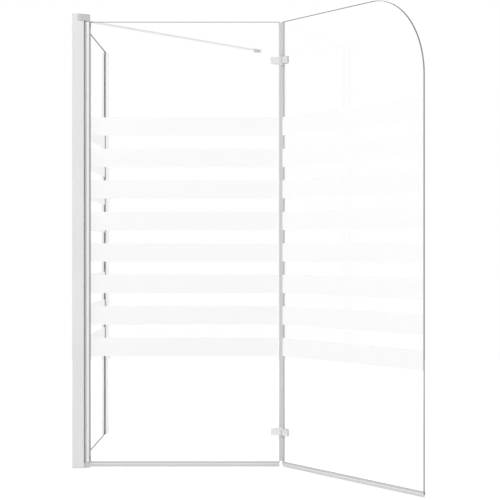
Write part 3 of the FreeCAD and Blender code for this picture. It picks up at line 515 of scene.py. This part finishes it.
SLOT_MATERIALS = {
    "aluminium_profile": satin_aluminium,
    "cast_bracket": painted_casting,
    "bar_metal": drawn_bar,
    "steel": plain_stainless,
    "dark_rubber": shadow_line_seal,
    "seal_vinyl": drip_vinyl,
    "gasket_rubber": glazing_gasket,
    "moulded_plastic": moulded_grey,
    "hinge_metal": plated_hinge,
    "glass": inner_pane,
}
NODE_MATERIALS = {
    "side_glass": side_pane,
    "outer_glass": outer_pane,
    "seam_seal": seam_vinyl,
    "bottom_pivot_bracket": shade_lifted_casting,
    "pivot_profile": shade_lifted_aluminium,
    "top_pivot_bush": bush_grey,
    "bottom_pivot_bush": bush_grey,
    "adjusting_channel": shade_lifted_aluminium,
    "wall_channel": shade_lifted_aluminium,
    "side_glass_wall_gaskets": shade_lifted_gasket,
    "bar_fork": tumbled_casting,
    "bar_wall_foot": tumbled_casting,
    "lower_hinge_outer_plate": plated_outer_hinge,
    "upper_hinge_outer_plate": plated_outer_hinge,
}


def dress_solids():
    """Give every solid the finish of its slot, or its own."""
    for row in frame["record"]["subparts"]:
        node = row["node"]
        finish = NODE_MATERIALS.get(node, SLOT_MATERIALS[row["material_slot"]])
        for material_slot in frame["nodes"][node].material_slots:
            material_slot.material = finish


# New pieces
def tube(rings):
    """Vertices and faces of rings of points joined in order, with a flat face over each end.

    rings has the shape (stations, points round, 3). The points turn right-handed about the way along
    the stations, so that every face points outwards.
    """
    stations, around = rings.shape[:2]
    numbers = np.arange(stations * around).reshape(stations, around)
    after = np.roll(numbers, -1, axis=1)
    sides = np.stack([numbers[:-1], after[:-1], after[1:], numbers[1:]], axis=-1).reshape(-1, 4)
    faces = sides.tolist() + [numbers[0, ::-1].tolist(), numbers[-1].tolist()]
    return rings.reshape(-1, 3), faces


def folded(points):
    """Points of the straight outer leaf, turned about the seam's axis to the leaf's rest."""
    x = points[..., 0] - SEAM_X
    y = points[..., 1] - SEAM_Y
    cosine = math.cos(FOLD_TURN)
    sine = math.sin(FOLD_TURN)
    return np.stack([SEAM_X + cosine * x - sine * y, SEAM_Y + sine * x + cosine * y, points[..., 2]], -1)


def add_piece(name, tubes, finish, body, slot, *replaced):
    """One mesh object of several closed tubes, which rides on a body."""
    vertices = []
    faces = []
    for points, polygons in tubes:
        start = len(vertices)
        vertices.extend(points.tolist())
        faces.extend([start + number for number in polygon] for polygon in polygons)
    mesh = bpy.data.meshes.new(name)
    mesh.from_pydata(vertices, [], faces)
    mesh.materials.append(finish)
    piece = bpy.data.objects.new(name, mesh)
    bpy.context.scene.collection.objects.link(piece)
    if replaced:
        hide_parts(*replaced)
    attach(piece, body)


def band(start, along, out, length, top):
    """A thin printed band: a superellipse section carried along a straight path, drawn in at its ends.

    The path begins on the glass at start and goes along for length; out points away from the glass, and
    top is the height of the band's upper edge. With t the angle round the section, height goes as
    sgn(sin t) |sin t|^e and thickness as sgn(cos t) |cos t|^e, where the small e makes the section
    nearly square.
    """
    power = 0.12
    around = 28
    turn = np.linspace(0.0, 2.0 * math.pi, around, endpoint=False)
    wide = np.sign(np.cos(turn)) * np.abs(np.cos(turn)) ** power * BAND_THICK / 2
    high = np.sign(np.sin(turn)) * np.abs(np.sin(turn)) ** power * BAND_HEIGHT / 2
    section = wide[:, None] * np.array(out) + high[:, None] * np.cross(along, out)
    stations = np.array([0.0, BAND_THICK, length - BAND_THICK, length])
    drawn_in = 1.0 - 2.0 * BAND_THICK / BAND_HEIGHT
    full = np.array([drawn_in, 1.0, 1.0, drawn_in])
    middle = np.array(start) + np.array(out) * (BAND_LIFT + BAND_THICK / 2)
    centre = middle + np.array([0.0, 0.0, top - BAND_HEIGHT / 2])
    path = centre + stations[:, None] * np.array(along)
    return tube(path[:, None, :] + full[:, None, None] * section[None, :, :])


def bands(start, along, out, length):
    """All the bands of one panel, from the top one down."""
    return [band(start, along, out, length, BAND_TOP - BAND_PITCH * row) for row in range(BAND_COUNT)]


def leaf_bands(span):
    """The bands on the front of a straight leaf, between two distances along X."""
    first, last = span
    return bands((first, GLASS_FRONT, 0.0), RIGHT, FRONT, last - first)


def add_bands():
    """White bands on each panel: outside on the leaves, inside on the side panel."""
    inner = leaf_bands(INNER_BAND_SPAN)
    add_piece("inner_bands", inner, white_print, "inner_leaf", "glass")
    outer = [(folded(points), faces) for points, faces in leaf_bands(OUTER_BAND_SPAN)]
    add_piece("outer_bands", outer, white_print, "outer_leaf", "glass")
    first, last = SIDE_BAND_SPAN
    side = bands((SIDE_GLASS_INSIDE, first, 0.0), BACK, RIGHT, last - first)
    add_piece("side_bands", side, white_print, "frame", "glass")


def socket_screw(top, heading, head_r, head_deep, shank_r, length):
    """A hexagon-socket screw: rings of changing radius round an axis, from socket to tip.

    The socket's rings follow a hexagon, whose polar radius is half its width across flats over the
    cosine of the angle to the nearest flat. The thread's rings dip by a triangle wave of the distance
    along the axis in pitches less the angle in turns.
    """
    around = 24
    turn = np.linspace(0.0, 2.0 * math.pi, around, endpoint=False)
    sixth = math.pi / 3
    half_flats = 0.5 * head_r
    hexagon = half_flats / np.cos((turn + sixth / 2) % sixth - sixth / 2)
    circle = np.ones(around)
    bevel = 0.12 * head_deep
    recess = 0.6 * head_deep
    flare = 1.08
    rings = [
        (hexagon, recess),
        (hexagon, bevel),
        (hexagon * flare, 0.0),
        (circle * (head_r - bevel), 0.0),
        (circle * head_r, bevel),
        (circle * head_r, head_deep),
        (circle * shank_r, head_deep),
    ]
    pitch = 0.35 * shank_r + 0.0002
    rings_per_pitch = 4
    dip = 0.14
    depths = np.arange(head_deep + pitch, length - 1.5 * pitch, pitch / rings_per_pitch)
    phase = (depths[:, None] / pitch - turn / (2.0 * math.pi)) % 1.0
    thread = shank_r * (1.0 - dip * (1.0 - np.abs(2.0 * phase - 1.0)))
    rings += list(zip(thread, depths))
    tip_base = 0.8
    tip_end = 0.3
    rings += [(circle * shank_r * tip_base, length - pitch), (circle * shank_r * tip_end, length)]
    radius = np.array([ring for ring, depth in rings])
    depth = np.array([depth for ring, depth in rings])
    way = np.array(heading)
    across = np.array(UP if abs(way[2]) < 0.5 else RIGHT)
    other = np.cross(way, across)
    reach = np.cos(turn)[:, None] * across + np.sin(turn)[:, None] * other
    return tube(np.array(top) + depth[:, None, None] * way + radius[:, :, None] * reach[None, :, :])


def add_lock_screws():
    """Socket screws that lock the two channels at the wall together."""
    screws = [socket_screw((LOCK_HEAD_X, LOCK_SCREW_Y, height), LEFT, **LOCK_SCREW)
              for height in LOCK_SCREW_HEIGHTS]
    add_piece("channel_lock_socket_screws", screws, plain_stainless, "frame", "steel",
              "channel_lock_screws")


def add_clamp_screws():
    """Socket screws through the hinges' clamp plates, one on each leaf of either hinge."""
    for level, height in CLAMP_SCREW_HEIGHTS.items():
        for leaf, side in (("inner", -1.0), ("outer", 1.0)):
            top = (SEAM_X + side * CLAMP_SCREW_RUN, CLAMP_HEAD_Y, height)
            points, faces = socket_screw(top, FRONT, **CLAMP_SCREW)
            if leaf == "outer":
                points = folded(points)
            add_piece(f"{level}_{leaf}_clamp_socket_screw", [(points, faces)], plain_stainless,
                      f"{leaf}_leaf", "steel", f"{level}_hinge_{leaf}_screw")


def add_bracket_screws():
    """Socket screws that hold the pivot brackets to the post's ends."""
    top = (PORT_XS[1], PORT_Y, TOP_HEAD_Z)
    upper = socket_screw(top, DOWN, **BRACKET_SCREW, length=TOP_SCREW_LENGTH)
    add_piece("top_bracket_socket_screw", [upper], plain_stainless, "frame", "steel",
              "top_bracket_screw")
    lower = [socket_screw((x, PORT_Y, BOTTOM_HEAD_Z), UP, **BRACKET_SCREW, length=BOTTOM_SCREW_LENGTH)
             for x in PORT_XS]
    add_piece("bottom_bracket_socket_screws", lower, plain_stainless, "frame", "steel",
              "bottom_bracket_screws")


# Studio
@material
def pale_floor(tree):
    """A pale floor that glows where it is seen, and more so far from the part."""
    plain = tree.node("ShaderNodeBsdfDiffuse", None, {"Color": grey(FLOOR_TONE)})
    far = tree.ease(tree.distance(), *FLOOR_GLOW_RANGE)
    shade = tree.blend(far, grey(FLOOR_GLOW_NEAR), grey(FLOOR_GLOW_FAR))
    glow = tree.node("ShaderNodeEmission", None, {"Color": shade})
    white = tree.node("ShaderNodeAddShader", None, {0: plain, 1: glow})
    return tree.mix(tree.seen(), plain, white)


def add_floor():
    """A square floor that reads as white and keeps a soft shadow."""
    signs = ((-1, -1), (1, -1), (1, 1), (-1, 1))
    corners = [(x * FLOOR_REACH, y * FLOOR_REACH, FLOOR_HEIGHT) for x, y in signs]
    mesh = bpy.data.meshes.new("floor")
    mesh.from_pydata(corners, [], [(0, 1, 2, 3)])
    mesh.materials.append(pale_floor)
    floor = bpy.data.objects.new("floor", mesh)
    bpy.context.scene.collection.objects.link(floor)


def add_world():
    """An even white room: full white where it is seen, dimmer as a light."""
    world = bpy.data.worlds.new("white_room")
    bpy.context.scene.world = world
    tree = Tree(world)
    strength = tree.seen() * (1.0 - ROOM_LIGHT) + ROOM_LIGHT
    room = tree.node("ShaderNodeBackground", None, {"Color": grey(1.0), "Strength": strength})
    tree.node("ShaderNodeOutputWorld", None, {"Surface": room})


def add_lamp(name, place, power):
    """A square soft box that looks at the middle of the screen."""
    lamp = bpy.data.lights.new(name, "AREA")
    lamp.energy = power
    lamp.size = LAMP_WIDTH
    stand = bpy.data.objects.new(name, lamp)
    stand.location = place
    stand.visible_glossy = False
    aim = Vector(LAMP_AIM) - Vector(place)
    stand.rotation_euler = aim.to_track_quat("-Z", "Y").to_euler()
    bpy.context.scene.collection.objects.link(stand)


def add_camera():
    """A level camera looking along +Y, shifted as the photograph is framed."""
    camera = bpy.data.cameras.new("camera")
    camera.sensor_width = SENSOR_WIDTH
    camera.lens = SENSOR_WIDTH * FOCAL_PIXELS / PHOTO_PIXELS
    camera.shift_x = 0.5 - CENTRE_PIXEL[0] / PHOTO_PIXELS
    camera.shift_y = CENTRE_PIXEL[1] / PHOTO_PIXELS - 0.5
    stand = bpy.data.objects.new("camera", camera)
    stand.location = CAMERA_PLACE
    stand.rotation_euler = (math.pi / 2, 0.0, 0.0)
    bpy.context.scene.collection.objects.link(stand)
    bpy.context.scene.camera = stand


dress_solids()
add_bands()
add_lock_screws()
add_clamp_screws()
add_bracket_screws()
add_floor()
add_world()
for lamp_name, (lamp_place, lamp_power) in LAMPS.items():
    add_lamp(lamp_name, lamp_place, lamp_power)
add_camera()
bpy.context.scene.view_settings.view_transform = "Standard"
